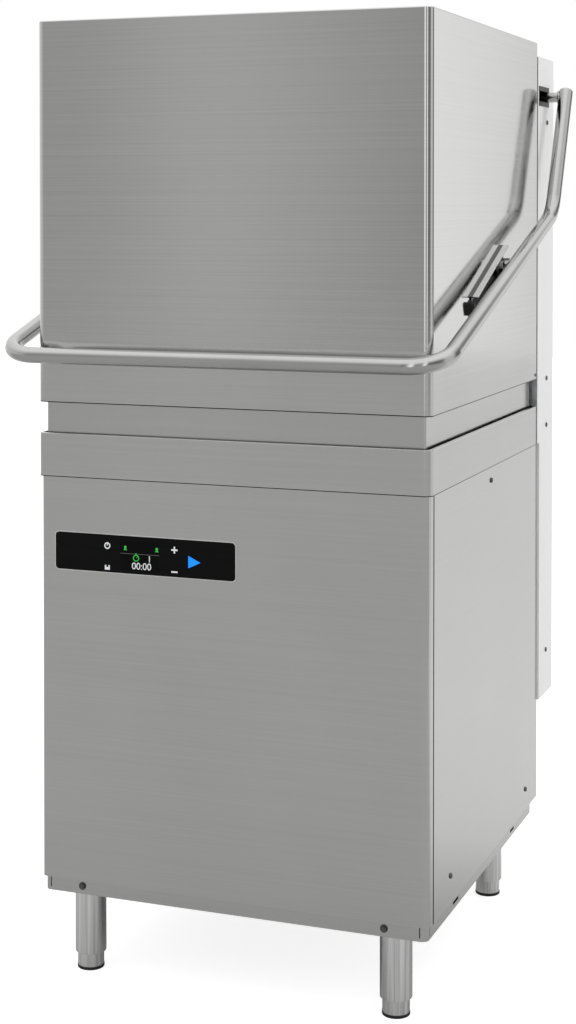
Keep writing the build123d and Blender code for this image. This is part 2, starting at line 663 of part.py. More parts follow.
def drain_outlet():
    """Drain elbow from the tank floor to the spigot at the back."""
    path = [at(*DRAIN, 641.6), at(*DRAIN, 200), at(-60, DRAIN[1], 200), at(-60, 690, 200)]
    body = bent_pipe(path, [45, 45], 20, 17.5)
    flange = pipe(at(*DRAIN, 630), at(*DRAIN, 639.8), 30, 19)
    hose_tail = pipe(at(-60, 664, 200), at(-60, 690, 200), 21, 19)
    return body + flange + hose_tail


def tank_heater():
    """Looped immersion element over the tank floor, with its flange inside the tank's left wall."""
    points = [at(-262, 150, 664), at(200, 150, 664), at(200, 500, 664), at(-100, 500, 664),
              at(-100, 190, 664), at(-262, 190, 664)]
    element = bent_rod(points, [30, 30, 30, 19], 4.5)
    flange = block(-264.3, -260, 135, 205, 648, 682)
    return element + flange


def pump_casing():
    """Pump volute under the sump, hollow for its impeller, with its inlet up and outlet to the rear."""
    centre = at(SUMP_X, MIDDLE, 500)
    body = rod(centre + Vector(-32, 0, 0), centre + Vector(28, 0, 0), 72)
    body += rod(at(SUMP_X, MIDDLE, 540), at(SUMP_X, MIDDLE, 591.4), 19.8)
    outlet = SUMP_X - 20
    body += rod(at(outlet, MIDDLE, 548), at(outlet, MIDDLE + 105, 548), 17)
    body -= rod(centre + Vector(-26, 0, 0), centre + Vector(22, 0, 0), 64)
    body -= rod(at(SUMP_X, MIDDLE, 500), at(SUMP_X, MIDDLE, 600), 16)
    body -= rod(at(outlet, MIDDLE, 548), at(outlet, MIDDLE + 110, 548), 13.5)
    return body - rod(centre, centre + Vector(60, 0, 0), 7.05)


def pump_motor():
    """Motor beside the volute: finned barrel, end bell and terminal box, hollow for the shaft."""
    centre = at(SUMP_X + 28, MIDDLE, 500)
    side = Vector(1, 0, 0)
    body = rod(centre, centre + side * 12, 72)
    body += rod(centre + side * 10, centre + side * 170, 58)
    body += rod(centre + side * 165, centre + side * 190, 50)
    for index in range(18):
        fin = Pos(*(centre + side * 90)) * Rot(index * 20, 0, 0) * Pos(0, 0, 60) * Box(140, 2.4, 8)
        body += fin
    body += block(170, 250, MIDDLE - 30, MIDDLE + 30, 550, 590)
    return body - rod(centre - side * 5, centre + side * 150, 7.05)


def pump_rotor():
    """Impeller with curved-back vanes on the motor shaft."""
    hub_centre = at(SUMP_X, MIDDLE, 500)
    side = Vector(1, 0, 0)
    rotor = rod(hub_centre + side * 12, hub_centre + side * 15, 56)
    rotor += rod(hub_centre - side * 18, hub_centre + side * 15, 14)
    for index in range(6):
        vane = Pos(*(hub_centre - side * 2)) * Rot(index * 60, 0, 0) * Pos(0, 0, 33) * Rot(25, 0, 0) * Box(30, 3, 40)
        rotor += vane
    return rotor + rod(hub_centre, hub_centre + side * 170, 7)


def wash_manifold():
    """Pressure pipe from the pump to a tee, one branch to the lower spindle and one to the riser."""
    outlet = SUMP_X - 20
    main = bent_pipe([at(outlet, MIDDLE + 105.3, 548), at(outlet, 550, 548), at(0, 590, 548),
                      at(0, 625, 590), at(0, 625, 699.8)], [20, 20, 20], 16, 13.5)
    branch = bent_pipe([at(0, MIDDLE, 599.8), at(0, MIDDLE, 575), at(-60, MIDDLE, 575),
                        at(-60, 600, 575), at(-17, 621, 640)], [12, 25, 15], 11, 9)
    clamp = pipe(at(0, 625, 690), at(0, 625, 710), 19, 16)
    return main + branch + clamp


def boiler():
    """Upright rinse boiler with domed ends and lagging band."""
    place = at(-185, 250, 0)
    body = rod(Vector(place.X, place.Y, 190), Vector(place.X, place.Y, 540), 95)
    body = fillet(body.edges(), 22)
    body -= rod(Vector(place.X, place.Y, 196), Vector(place.X, place.Y, 534), 88)
    for z in (290, 430):
        body += pipe(Vector(place.X, place.Y, z), Vector(place.X, place.Y, z + 18), 97, 94)
    return body


def boiler_heater():
    """Three-loop element and its hexagonal flange in the bottom of the boiler."""
    place = at(-185, 250, 0)
    flange = extrude(Plane(Vector(place.X, place.Y, 176)) * RegularPolygon(34, 6), 13.6)
    element = bent_rod([Vector(place.X - 18, place.Y, 197), Vector(place.X - 18, place.Y, 460),
                        Vector(place.X + 18, place.Y, 460), Vector(place.X + 18, place.Y, 197)],
                       [17.5, 17.5], 4.5)
    return [flange, element]


def rinse_pump():
    centre = at(20, 120, 230)
    side = Vector(0, 1, 0)
    body = rod(centre, centre + side * 110, 42)
    body += rod(centre - side * 26, centre, 48)
    body += rod(centre - side * 40, centre - side * 20, 12)
    return body + block(-25, 65, 140, 220, 175, 190)


def dosing_pump(x):
    """Peristaltic dosing pump: a square case, a round roller cover and two hose tails."""
    case = block(x - 34, x + 34, 40, 100, 480, 560)
    case = fillet(case.edges().filter_by(Axis.Y), 5)
    case += rod(at(x, 40, 520), at(x, 22, 520), 26)
    for tail in (-12, 12):
        case += rod(at(x + tail, 31, 500), at(x + tail, 31, 474), 4)
    return case


def electrical_box():
    """Closed switchgear box behind the right of the front panel."""
    return block(115, 265, 40, 120, 300, 470) - block(117, 263, 42, 118, 302, 468)


def inlet_valve():
    """Solenoid valve on the water inlet: a brass-size body and a square coil."""
    body = rod(at(200, 560, 235), at(200, 640, 235), 13)
    body += block(182, 218, 580, 620, 246, 290)
    return body + rod(at(200, 600, 235), at(200, 600, 250), 11)


def water_inlet():
    """Threaded water inlet through the rear panel, with a hexagonal back nut."""
    stub = pipe(at(200, 640.2, 235), at(200, 695, 235), 13.2, 9)
    nut = extrude(Plane(at(200, 663, 235), z_dir=(0, 1, 0)) * RegularPolygon(20, 6), 6)
    return stub + nut - rod(at(200, 650, 235), at(200, 700, 235), 9)


def cable_gland():
    """Gland for the mains cable: back nut, body and domed clamping nut."""
    start = at(-220, 650, 260)
    gland = rod(start, at(-220, 690, 260), 10)
    gland += extrude(Plane(at(-220, 663, 260), z_dir=(0, 1, 0)) * RegularPolygon(15, 6), 7)
    gland += extrude(Plane(at(-220, 674, 260), z_dir=(0, 1, 0)) * RegularPolygon(14, 6), 12)
    gland += extrude(Plane(at(-220, 654, 260), z_dir=(0, 1, 0)) * RegularPolygon(15, 6), 6)
    return gland - rod(start - Vector(0, 5, 0), at(-220, 700, 260), 7)


def hood_switch():
    """Reed switch on the column's front, facing the hood's magnet."""
    return block(70, 110, 663.6, 668, 868, 888)


# ---- fasteners ----------------------------------------------------------------------------------
def panel_fasteners():
    """Screws of the side panels and of the column's cover, and the bolts in the tray's front wall."""
    fasteners = []
    side_face = HALF - PANEL_INSET
    outward = Vector(1, 0, 0)
    for depth, z in SIDE_SCREWS:
        fasteners.extend(both_sides(pan_screw(at(side_face, depth, z), outward)))
    for z in COVER_SCREW_Z:
        fasteners.extend(both_sides(pan_screw(at(HALF, COVER_SCREW_DEPTH, z), outward)))
    fasteners.extend(both_sides(hex_bolt(at(BOLT_X, 7, BOLT_Z), Vector(0, -1, 0))))
    return fasteners


def build():
    save("base_pan", base_pan())
    save("foot_tubes", *[foot_tube(*place) for place in foot_places().values()])
    for name, place in foot_places().items():
        save(f"foot_{name}", *foot_sleeve(*place))
    save("corner_posts", *corner_posts())
    save("table_band", table_band())
    save("tank_gutter", tank_gutter())
    save("wash_tank", *wash_tank())
    save("front_panel", front_panel())
    save("right_side_panel", side_panel())
    save("left_side_panel", mirror(side_panel(), Plane.YZ))
    save("rear_panel", rear_panel())
    save("control_fascia", control_fascia())
    save("display_screen", display_screen())
    save("column_frame", column_frame())
    save("hood_guide_rails", *both_sides(guide_rail()))
    save("column_front_panel", column_front_panel())
    save("column_cover", column_cover())
    save("axle_bushes", *both_sides(axle_bush()))
    save("counterbalance_springs", *both_sides(counterbalance_spring(LEVER_X)))
    save("hood_shell", hood_shell())
    save("hood_liner", hood_liner())
    save("lift_channels", *both_sides(lift_channel()))
    save("lift_stops", *both_sides(lift_stop()))
    save("carriage_brackets", *both_sides(carriage_bracket()))
    save("guide_shoes", *guide_shoes())
    save("handle_tube", handle_tube())
    save("handle_axle", handle_axle())
    save("spring_levers", *both_sides(spring_lever(LEVER_X)))
    save("lift_pins", *both_sides(lift_pin()))
    save("lift_sleeves", *both_sides(lift_sleeve()))
    save("lower_spindle", lower_spindle())
    save("wash_riser", wash_riser())
    save("rinse_riser", rinse_riser())
    save("lower_wash_arm", spray_arm(ARM_Z["lower_wash"], 470, 40, 18, 1, 5))
    save("lower_rinse_arm", spray_arm(ARM_Z["lower_rinse"], 400, 22, 12, 1, 5))
    save("upper_wash_arm", spray_arm(ARM_Z["upper_wash"], 470, 40, 18, -1, 5))
    save("upper_rinse_arm", spray_arm(ARM_Z["upper_rinse"], 400, 22, 12, -1, 5))
    save("rack_rails", rack_rail(62), rack_rail(HOOD_DEPTH - 62))
    save("tank_filters", tank_filter(False), tank_filter(True))
    save("suction_filter", suction_filter())
    save("overflow_standpipe", overflow_standpipe())
    save("drain_outlet", drain_outlet())
    save("tank_heater", tank_heater())
    save("pump_casing", pump_casing())
    save("pump_motor", pump_motor())
    save("pump_rotor", pump_rotor())
    save("wash_manifold", wash_manifold())
    save("boiler", boiler())
    save("boiler_heater", *boiler_heater())
    save("rinse_pump", rinse_pump())
    save("dosing_pumps", dosing_pump(100), dosing_pump(200))
    save("electrical_box", electrical_box())
    save("inlet_valve", inlet_valve())
    save("water_inlet", water_inlet())
    save("cable_gland", cable_gland())
    save("hood_switch", hood_switch())
    save("panel_fasteners", *panel_fasteners())


build()
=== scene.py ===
import json
import math

import bmesh
import bpy
from mathutils import Matrix, Vector


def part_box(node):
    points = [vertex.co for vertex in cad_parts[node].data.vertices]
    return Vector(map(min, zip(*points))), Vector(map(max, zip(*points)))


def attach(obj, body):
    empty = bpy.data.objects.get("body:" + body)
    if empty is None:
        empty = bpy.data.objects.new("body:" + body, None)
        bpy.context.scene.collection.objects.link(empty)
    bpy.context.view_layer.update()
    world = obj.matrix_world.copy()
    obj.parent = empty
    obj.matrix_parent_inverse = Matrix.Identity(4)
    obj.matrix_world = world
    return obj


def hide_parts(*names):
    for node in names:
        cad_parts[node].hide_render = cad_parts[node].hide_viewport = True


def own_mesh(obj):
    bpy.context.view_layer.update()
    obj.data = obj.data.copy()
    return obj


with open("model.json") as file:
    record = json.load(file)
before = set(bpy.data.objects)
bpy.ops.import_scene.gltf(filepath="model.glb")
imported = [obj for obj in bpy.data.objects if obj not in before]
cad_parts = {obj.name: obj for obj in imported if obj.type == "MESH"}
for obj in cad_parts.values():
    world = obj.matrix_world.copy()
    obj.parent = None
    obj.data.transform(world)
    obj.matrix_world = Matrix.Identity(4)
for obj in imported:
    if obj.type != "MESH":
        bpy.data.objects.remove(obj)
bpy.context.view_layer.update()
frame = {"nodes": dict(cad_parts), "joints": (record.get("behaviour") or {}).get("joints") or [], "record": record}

# ---- places, all taken from the frame -----------------------------------------------------------
HOOD_LOW, HOOD_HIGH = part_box("hood_shell")
FASCIA_LOW, FASCIA_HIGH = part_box("control_fascia")
SCREEN_LOW, SCREEN_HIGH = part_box("display_screen")
TUBE_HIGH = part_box("handle_tube")[1]
SPRING_LOW, SPRING_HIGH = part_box("counterbalance_springs")
FRONT = HOOD_LOW.y
JOINTS = {joint["name"]: joint for joint in frame["joints"]}
AXLE = Vector(JOINTS["handle_lift"]["pos_m"])


# ---- node materials -----------------------------------------------------------------------------
class Shader:
    """A Principled material and short calls that add nodes to it."""

    def __init__(self, name, colour, roughness, metallic=0.0):
        self.material = bpy.data.materials.new(name)
        self.material.use_nodes = True
        self.tree = self.material.node_tree
        self.bsdf = self.tree.nodes["Principled BSDF"]
        self.bsdf.inputs["Base Color"].default_value = (*colour, 1)
        self.bsdf.inputs["Roughness"].default_value = roughness
        self.bsdf.inputs["Metallic"].default_value = metallic
        self.coords = self.node("ShaderNodeTexCoord").outputs["Object"]

    def node(self, kind, **settings):
        made = self.tree.nodes.new(kind)
        for key, value in settings.items():
            setattr(made, key, value)
        return made

    def link(self, output, target):
        self.tree.links.new(output, target)

    def noise(self, scale, stretch=(1, 1, 1), detail=3.0, rough=0.55):
        mapping = self.node("ShaderNodeMapping")
        mapping.inputs["Scale"].default_value = stretch
        self.link(self.coords, mapping.inputs["Vector"])
        noise = self.node("ShaderNodeTexNoise")
        noise.inputs["Scale"].default_value = scale
        noise.inputs["Detail"].default_value = detail
        noise.inputs["Roughness"].default_value = rough
        self.link(mapping.outputs["Vector"], noise.inputs["Vector"])
        return noise.outputs["Fac"]

    def spread(self, value, low, high, start=0.3, end=0.7):
        """Maps a noise value onto the range low to high."""
        ranged = self.node("ShaderNodeMapRange")
        ranged.inputs["From Min"].default_value = start
        ranged.inputs["From Max"].default_value = end
        ranged.inputs["To Min"].default_value = low
        ranged.inputs["To Max"].default_value = high
        self.link(value, ranged.inputs["Value"])
        return ranged.outputs["Result"]

    def math(self, operation, first, second):
        made = self.node("ShaderNodeMath", operation=operation)
        for socket, value in zip(made.inputs, (first, second)):
            if isinstance(value, (int, float)):
                socket.default_value = value
            else:
                self.link(value, socket)
        return made.outputs["Value"]

    def mix(self, factor, first, second):
        """Mixes two colours, each a tuple or a socket."""
        made = self.node("ShaderNodeMix", data_type="RGBA")
        self.link(factor, made.inputs["Factor"])
        for socket, value in ((made.inputs["A"], first), (made.inputs["B"], second)):
            if isinstance(value, tuple):
                socket.default_value = (*value, 1)
            else:
                self.link(value, socket)
        return made.outputs["Result"]

    def shade(self, colour, value):
        """Multiplies a colour by a value."""
        made = self.node("ShaderNodeMix", data_type="RGBA", blend_type="MULTIPLY")
        made.inputs["Factor"].default_value = 1.0
        made.inputs["A"].default_value = (*colour, 1)
        grey = self.node("ShaderNodeCombineColor")
        for socket in grey.inputs:
            self.link(value, socket)
        self.link(grey.outputs["Color"], made.inputs["B"])
        return made.outputs["Result"]

    def bump(self, height, strength, distance):
        made = self.node("ShaderNodeBump")
        made.inputs["Strength"].default_value = strength
        made.inputs["Distance"].default_value = distance
        self.link(height, made.inputs["Height"])
        self.link(made.outputs["Normal"], self.bsdf.inputs["Normal"])


EDGE_DARK = (0.012, 0.012, 0.012)


def brushed(name, colour, roughness, depth=0.05, contrast=0.05, grain=(1.5, 1.5, 800), anisotropic=0.6,
            shaded=None):
    """Brushed steel. The noise's scale on each axis is grain, low along the brushing.

    shaded is an axis and a place on it; below that place the sheet is painted dark, as an edge in shade.
    """
    made = Shader(name, colour, roughness, metallic=1.0)
    lines = made.noise(1.0, grain, detail=4.0, rough=0.7)
    smudges = made.noise(3.5, (1, 1, 0.7), detail=2.0)
    both = made.math("MULTIPLY", made.spread(lines, 1 - contrast, 1 + contrast),
                     made.spread(smudges, 1 - contrast * 0.5, 1 + contrast * 0.5))
    tone = made.shade(colour, both)
    if shaded:
        axis, limit = shaded
        place = made.node("ShaderNodeSeparateXYZ")
        made.link(made.coords, place.inputs["Vector"])
        tone = made.mix(made.math("LESS_THAN", place.outputs[axis], limit), tone, EDGE_DARK)
    made.link(tone, made.bsdf.inputs["Base Color"])
    rough = made.math("ADD", made.spread(lines, -0.03, 0.04),
                      made.spread(smudges, roughness - 0.03, roughness + 0.03))
    made.link(rough, made.bsdf.inputs["Roughness"])
    made.bsdf.inputs["Anisotropic"].default_value = anisotropic
    made.bsdf.inputs["Anisotropic Rotation"].default_value = 0.25
    tangent = made.node("ShaderNodeTangent", direction_type="RADIAL", axis="Z")
    made.link(tangent.outputs["Tangent"], made.bsdf.inputs["Tangent"])
    made.bump(lines, depth, 0.0004)
    return made.material


def drawn(name, colour, roughness):
    """Bright drawn tube, streaked along its length; its strong streaks are partly grain, partly painted
    highlights.
    """
    made = Shader(name, colour, roughness, metallic=1.0)
    streaks_and_highlights = made.noise(1.0, (170, 170, 3), detail=3.0, rough=0.6)
    made.link(made.shade(colour, made.spread(streaks_and_highlights, 0.62, 1.12)), made.bsdf.inputs["Base Color"])
    made.link(made.spread(streaks_and_highlights, roughness + 0.05, roughness - 0.03), made.bsdf.inputs["Roughness"])
    made.bump(streaks_and_highlights, 0.25, 0.0004)
    return made.material


def polished(name, colour, roughness, wear=0.04):
    """Polished steel with fine scratches and finger smudges."""
    made = Shader(name, colour, roughness, metallic=1.0)
    scratches = made.noise(60.0, (1, 1, 1), detail=6.0, rough=0.7)
    smudges = made.noise(9.0, detail=3.0)
    made.link(made.shade(colour, made.spread(smudges, 1 - wear, 1 + wear)), made.bsdf.inputs["Base Color"])
    rough = made.math("ADD", made.spread(scratches, -0.02, 0.03),
                      made.spread(smudges, roughness - 0.02, roughness + 0.05))
    made.link(rough, made.bsdf.inputs["Roughness"])
    made.bump(scratches, 0.03, 0.0002)
    return made.material


def moulded(name, colour, roughness, grain=700.0, depth=0.12):
    """Moulded plastic or rubber with a fine grain."""
    made = Shader(name, colour, roughness)
    spots = made.noise(grain, detail=2.0)
    patches = made.noise(14.0, detail=2.0)
    made.link(made.shade(colour, made.spread(patches, 0.9, 1.1)), made.bsdf.inputs["Base Color"])
    made.link(made.spread(spots, roughness - 0.06, roughness + 0.06), made.bsdf.inputs["Roughness"])
    made.bump(spots, depth, 0.0002)
    return made.material


def galvanised(name, colour, roughness):
    """Zinc-coated sheet with its spangle."""
    made = Shader(name, colour, roughness, metallic=1.0)
    cells = made.node("ShaderNodeTexVoronoi")
    cells.inputs["Scale"].default_value = 90.0
    made.link(made.coords, cells.inputs["Vector"])
    tone = made.node("ShaderNodeSeparateColor")
    made.link(cells.outputs["Color"], tone.inputs["Color"])
    made.link(made.shade(colour, made.spread(tone.outputs["Red"], 0.86, 1.08, 0, 1)),
              made.bsdf.inputs["Base Color"])
    made.link(made.spread(tone.outputs["Green"], roughness - 0.08, roughness + 0.1, 0, 1),
              made.bsdf.inputs["Roughness"])
    return made.material


def enamel(name, colour, roughness):
    """Smooth sprayed finish with a faint orange peel."""
    made = Shader(name, colour, roughness)
    peel = made.noise(260.0, detail=2.0)
    dust = made.noise(6.0, detail=4.0)
    made.link(made.shade(colour, made.spread(dust, 0.975, 1.0)), made.bsdf.inputs["Base Color"])
    made.link(made.spread(dust, roughness - 0.04, roughness + 0.06), made.bsdf.inputs["Roughness"])
    made.bump(peel, 0.04, 0.0003)
    made.bsdf.inputs["Coat Weight"].default_value = 0.2
    return made.material


def gloss(name, colour, roughness):
    """Glossy printed sheet with very faint dust and wipe marks."""
    made = Shader(name, colour, roughness)
    wipes = made.noise(2.0, (3, 3, 60), detail=4.0)
    made.link(made.spread(wipes, roughness, roughness + 0.08), made.bsdf.inputs["Roughness"])
    made.link(made.shade(colour, made.spread(wipes, 0.8, 1.3)), made.bsdf.inputs["Base Color"])
    return made.material


def glowing(name, colour, strength):
    """Lit legend, slightly uneven as a printed diffuser is."""
    made = Shader(name, colour, 0.4)
    uneven = made.noise(300.0, detail=1.0)
    tint = made.shade(colour, made.spread(uneven, 0.94, 1.0))
    made.link(tint, made.bsdf.inputs["Emission Color"])
    made.link(tint, made.bsdf.inputs["Base Color"])
    made.bsdf.inputs["Emission Strength"].default_value = strength
    return made.material


def foot_finish(name, steel, plastic, seam):
    """Steel sleeve above the seam and black plastic below it, in one node."""
    made = Shader(name, steel, 0.2, metallic=1.0)
    place = made.node("ShaderNodeSeparateXYZ")
    made.link(made.coords, place.inputs["Vector"])
    above = made.math("GREATER_THAN", place.outputs["Z"], seam)
    # The strong streaks in the steel's colour are partly drawn grain and partly painted highlights.
    scratches = made.noise(1.0, (170, 170, 3), detail=3.0, rough=0.6)
    steel_streaks_and_highlights = made.shade(steel, made.spread(scratches, 0.62, 1.12))
    made.link(made.mix(above, plastic, steel_streaks_and_highlights), made.bsdf.inputs["Base Color"])
    made.link(above, made.bsdf.inputs["Metallic"])
    steel_rough = made.spread(scratches, 0.15, 0.28)
    rough = made.node("ShaderNodeMix", data_type="FLOAT")
    made.link(above, rough.inputs["Factor"])
    rough.inputs["A"].default_value = 0.5
    made.link(steel_rough, rough.inputs["B"])
    made.link(rough.outputs["Result"], made.bsdf.inputs["Roughness"])
    made.bump(scratches, 0.03, 0.0002)
    return made.material


STEEL = (0.60, 0.60, 0.595)
MATERIALS = {
    "stainless_brushed": brushed("stainless_brushed", STEEL, 0.10, depth=0.02),
    "stainless_bright": brushed("stainless_bright", (0.64, 0.64, 0.635), 0.06, depth=0.01, contrast=0.03,
                                shaded=("Y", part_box("right_side_panel")[0].y + 0.0007)),
    "stainless_satin": brushed("stainless_satin", (0.58, 0.58, 0.57), 0.2, depth=0.03),
    "stainless_polished": polished("stainless_polished", (0.5, 0.5, 0.496), 0.1),
    "galvanised": galvanised("galvanised", (0.55, 0.56, 0.57), 0.38),
    "white_enamel": enamel("white_enamel", (0.95, 0.95, 0.95), 0.35),
    "black_gloss": gloss("black_gloss", (0.004, 0.004, 0.0045), 0.12),
    "display_glass": gloss("display_glass", (0.002, 0.002, 0.002), 0.05),
    "black_plastic": moulded("black_plastic", (0.018, 0.018, 0.018), 0.42),
    "white_plastic": moulded("white_plastic", (0.75, 0.75, 0.72), 0.4),
    "black_rubber": moulded("black_rubber", (0.014, 0.014, 0.014), 0.6),
    "spring_steel": polished("spring_steel", (0.30, 0.30, 0.31), 0.28),
    "cast_aluminium": moulded("cast_aluminium", (0.5, 0.51, 0.52), 0.45, grain=400.0, depth=0.4),
    "brass": polished("brass", (0.72, 0.5, 0.2), 0.25),
}
for dark_sheet in ("black_gloss", "display_glass"):
    MATERIALS[dark_sheet].node_tree.nodes["Principled BSDF"].inputs["Specular IOR Level"].default_value = 0.1
MATERIALS["cast_aluminium"].node_tree.nodes["Principled BSDF"].inputs["Metallic"].default_value = 1.0
FOOT_SEAM = 0.005
FOOT = foot_finish("foot_sleeve", (0.95, 0.95, 0.945), (0.012, 0.012, 0.012), FOOT_SEAM)

HOOD = brushed("hood_skin", STEEL, 0.10, depth=0.02, shaded=("Z", HOOD_LOW.z + 0.0014))
BAND = brushed("band_skin", STEEL, 0.10, depth=0.02, shaded=("Z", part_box("table_band")[0].z + 0.0012))
TUBE = drawn("foot_tube", (0.95, 0.95, 0.945), 0.14)
# Pale grey plastic finish on the steel bezel: a painted highlight for its bright edge.
BEZEL_HIGHLIGHT = moulded("bezel", (0.68, 0.68, 0.67), 0.3, depth=0.02)
FASTENER = polished("fastener", (0.14, 0.14, 0.14), 0.3)


def channel_finish(name, steel):
    """Bright lips on the lifting channels, with painted shade at the root and in the slot where the pins run."""
    made = Shader(name, steel, 0.1, metallic=1.0)
    low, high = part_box("lift_channels")
    slope, half_outer, half_inner = 0.40, 0.0128, 0.0109
    stretch = math.hypot(1, slope)
    half_length = ((high.y - low.y) / 2 - half_outer * slope / stretch) * stretch
    middle_y = (low.y + high.y) / 2
    middle_z = high.z - (half_length * slope + half_outer) / stretch
    place = made.node("ShaderNodeSeparateXYZ")
    made.link(made.coords, place.inputs["Vector"])
    rise = made.math("MULTIPLY", place.outputs["Y"], slope)
    height = made.math("SUBTRACT", place.outputs["Z"], rise)
    across = made.math("SUBTRACT", height, middle_z - slope * middle_y)
    inside = made.math("LESS_THAN", made.math("ABSOLUTE", across, 0.0), half_inner * stretch)
    scratches = made.noise(60.0, detail=5.0, rough=0.7)
    tone = made.shade(steel, made.spread(scratches, 0.92, 1.05))
    # Painted shade: near-black colour in the slot and at the root beside the hood, where shade would fall.
    painted_slot_shade = made.shade((0.05, 0.05, 0.05), made.spread(scratches, 0.8, 1.2))
    root = made.shade((0.08, 0.08, 0.08), made.spread(scratches, 0.9, 1.1))
    near_hood = made.math("LESS_THAN", made.math("ABSOLUTE", place.outputs["X"], 0.0), HOOD_HIGH.x + 0.004)
    made.link(made.mix(inside, made.mix(near_hood, tone, root), painted_slot_shade), made.bsdf.inputs["Base Color"])
    made.link(made.spread(scratches, 0.1, 0.2), made.bsdf.inputs["Roughness"])
    return made.material


CHANNEL = channel_finish("lift_channel", (0.64, 0.64, 0.635))


def dress(obj, material):
    obj.data.materials.clear()
    obj.data.materials.append(material)


SPECIAL = {"hood_shell": HOOD, "table_band": BAND, "foot_tubes": TUBE, "panel_fasteners": FASTENER,
           "lift_channels": CHANNEL}
SPECIAL.update({f"foot_{end}_{side}": FOOT for end in ("front", "rear") for side in ("left", "right")})
for row in frame["record"]["subparts"]:
    dress(frame["nodes"][row["node"]], SPECIAL.get(row["node"], MATERIALS[row["material_slot"]]))


# ---- small pieces -------------------------------------------------------------------------------
def piece(name, mesh, material, body):
    obj = bpy.data.objects.new(name, mesh)
    bpy.context.scene.collection.objects.link(obj)
    dress(obj, material)
    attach(obj, body)
    return obj


def mesh_from(name, bm, smooth=True):
    mesh = bpy.data.meshes.new(name)
    bmesh.ops.recalc_face_normals(bm, faces=bm.faces)
    bm.to_mesh(mesh)
    bm.free()
    for polygon in mesh.polygons:
        polygon.use_smooth = smooth
    return mesh


def plate(bm, outline, front, thickness):
    """A flat plate facing -Y, from an outline of (x, z) points."""
    near = [bm.verts.new((x, front, z)) for x, z in outline]
    far = [bm.verts.new((x, front + thickness, z)) for x, z in outline]
    bm.faces.new(near)
    bm.faces.new(list(reversed(far)))
    for index in range(len(outline)):
        follow = (index + 1) % len(outline)
        bm.faces.new((near[index], far[index], far[follow], near[follow]))


def arc(centre, radius, start, end, steps):
    points = []
    for index in range(steps + 1):
        angle = math.radians(start + (end - start) * index / steps)
        points.append((centre[0] + radius * math.cos(angle), centre[1] + radius * math.sin(angle)))
    return points


def circle(x, z, radius, corners=24):
    """A round outline of that many corners, open by one step so that no corner is there twice."""
    return arc((x, z), radius, 0, 360 - 360 / corners, corners - 1)


def rounded_box(x0, x1, z0, z1, radius, steps=6):
    outline = []
    for cx, cz, start in ((x1 - radius, z1 - radius, 0), (x0 + radius, z1 - radius, 90),
                          (x0 + radius, z0 + radius, 180), (x1 - radius, z0 + radius, 270)):
        outline += arc((cx, cz), radius, start, start + 90, steps)
    return outline


def rectangle(x0, x1, z0, z1):
    return [(x0, z0), (x1, z0), (x1, z1), (x0, z1)]


def ring(bm, outer, inner, front, thickness):
    """A flat ring facing -Y between two outlines with the same number of points."""
    loops = []
    back = front + thickness
    for outline, depth in ((outer, front), (inner, front), (inner, back), (outer, back)):
        loops.append([bm.verts.new((x, depth, z)) for x, z in outline])
    count = len(outer)
    for row in range(4):
        a, b = loops[row], loops[(row + 1) % 4]
        for index in range(count):
            follow = (index + 1) % count
            bm.faces.new((a[index], a[follow], b[follow], b[index]))


WHITE_LEGEND = glowing("legend_white", (0.82, 0.84, 0.84), 0.25)
GREEN_LEGEND = glowing("legend_green", (0.03, 0.42, 0.05), 0.5)
BLUE_LEGEND = glowing("legend_blue", (0.0, 0.22, 0.95), 0.75)
PRINT = 0.0003                # legends stand this far proud of the sheet


def legend(name, bm, material):
    return piece(name, mesh_from(name, bm, smooth=False), material, "cabinet")


def fascia_legends():
    """The marks of the five touch keys, in white and blue."""
    face = FASCIA_LOW.y - PRINT
    left = FASCIA_LOW.x
    bottom = FASCIA_LOW.z

    def spot(across, up):
        """A place on the fascia, measured from its lower left corner."""
        return left + across, bottom + up

    power = bmesh.new()
    x, z = spot(0.0895, 0.0411)
    ring(power, circle(x, z, 0.0052), circle(x, z, 0.0034), face, PRINT * 2)
    plate(power, rectangle(x - 0.0007, x + 0.0007, z, z + 0.0046), face - 0.0001, PRINT * 2)
    legend("key_power", power, WHITE_LEGEND)

    drain = bmesh.new()
    x, z = spot(0.0895, 0.0074)
    half_width, half_height, notch, notch_floor = 0.0042, 0.0036, 0.0018, 0.0005
    plate(drain, [(x - half_width, z - half_height), (x + half_width, z - half_height),
                  (x + half_width, z + half_height), (x + notch, z + half_height),
                  (x + notch, z + notch_floor), (x - notch, z + notch_floor),
                  (x - notch, z + half_height), (x - half_width, z + half_height)], face, PRINT * 2)
    legend("key_drain", drain, WHITE_LEGEND)

    plus = bmesh.new()
    x, z = spot(0.203, 0.0413)
    arm, half = 0.0052, 0.0012
    plate(plus, [(x - half, z - arm), (x + half, z - arm), (x + half, z - half), (x + arm, z - half),
                 (x + arm, z + half), (x + half, z + half), (x + half, z + arm), (x - half, z + arm),
                 (x - half, z + half), (x - arm, z + half), (x - arm, z - half), (x - half, z - half)],
          face, PRINT * 2)
    legend("key_plus", plus, WHITE_LEGEND)

    minus = bmesh.new()
    x, z = spot(0.203, 0.0077)
    plate(minus, rectangle(x - arm, x + arm, z - half, z + half), face, PRINT * 2)
    legend("key_minus", minus, WHITE_LEGEND)

    start = bmesh.new()
    x, z = spot(0.2355, 0.0245)
    plate(start, [(x - 0.0095, z - 0.0095), (x + 0.0105, z), (x - 0.0095, z + 0.0095)], face, PRINT * 2)
    legend("key_start", start, BLUE_LEGEND)


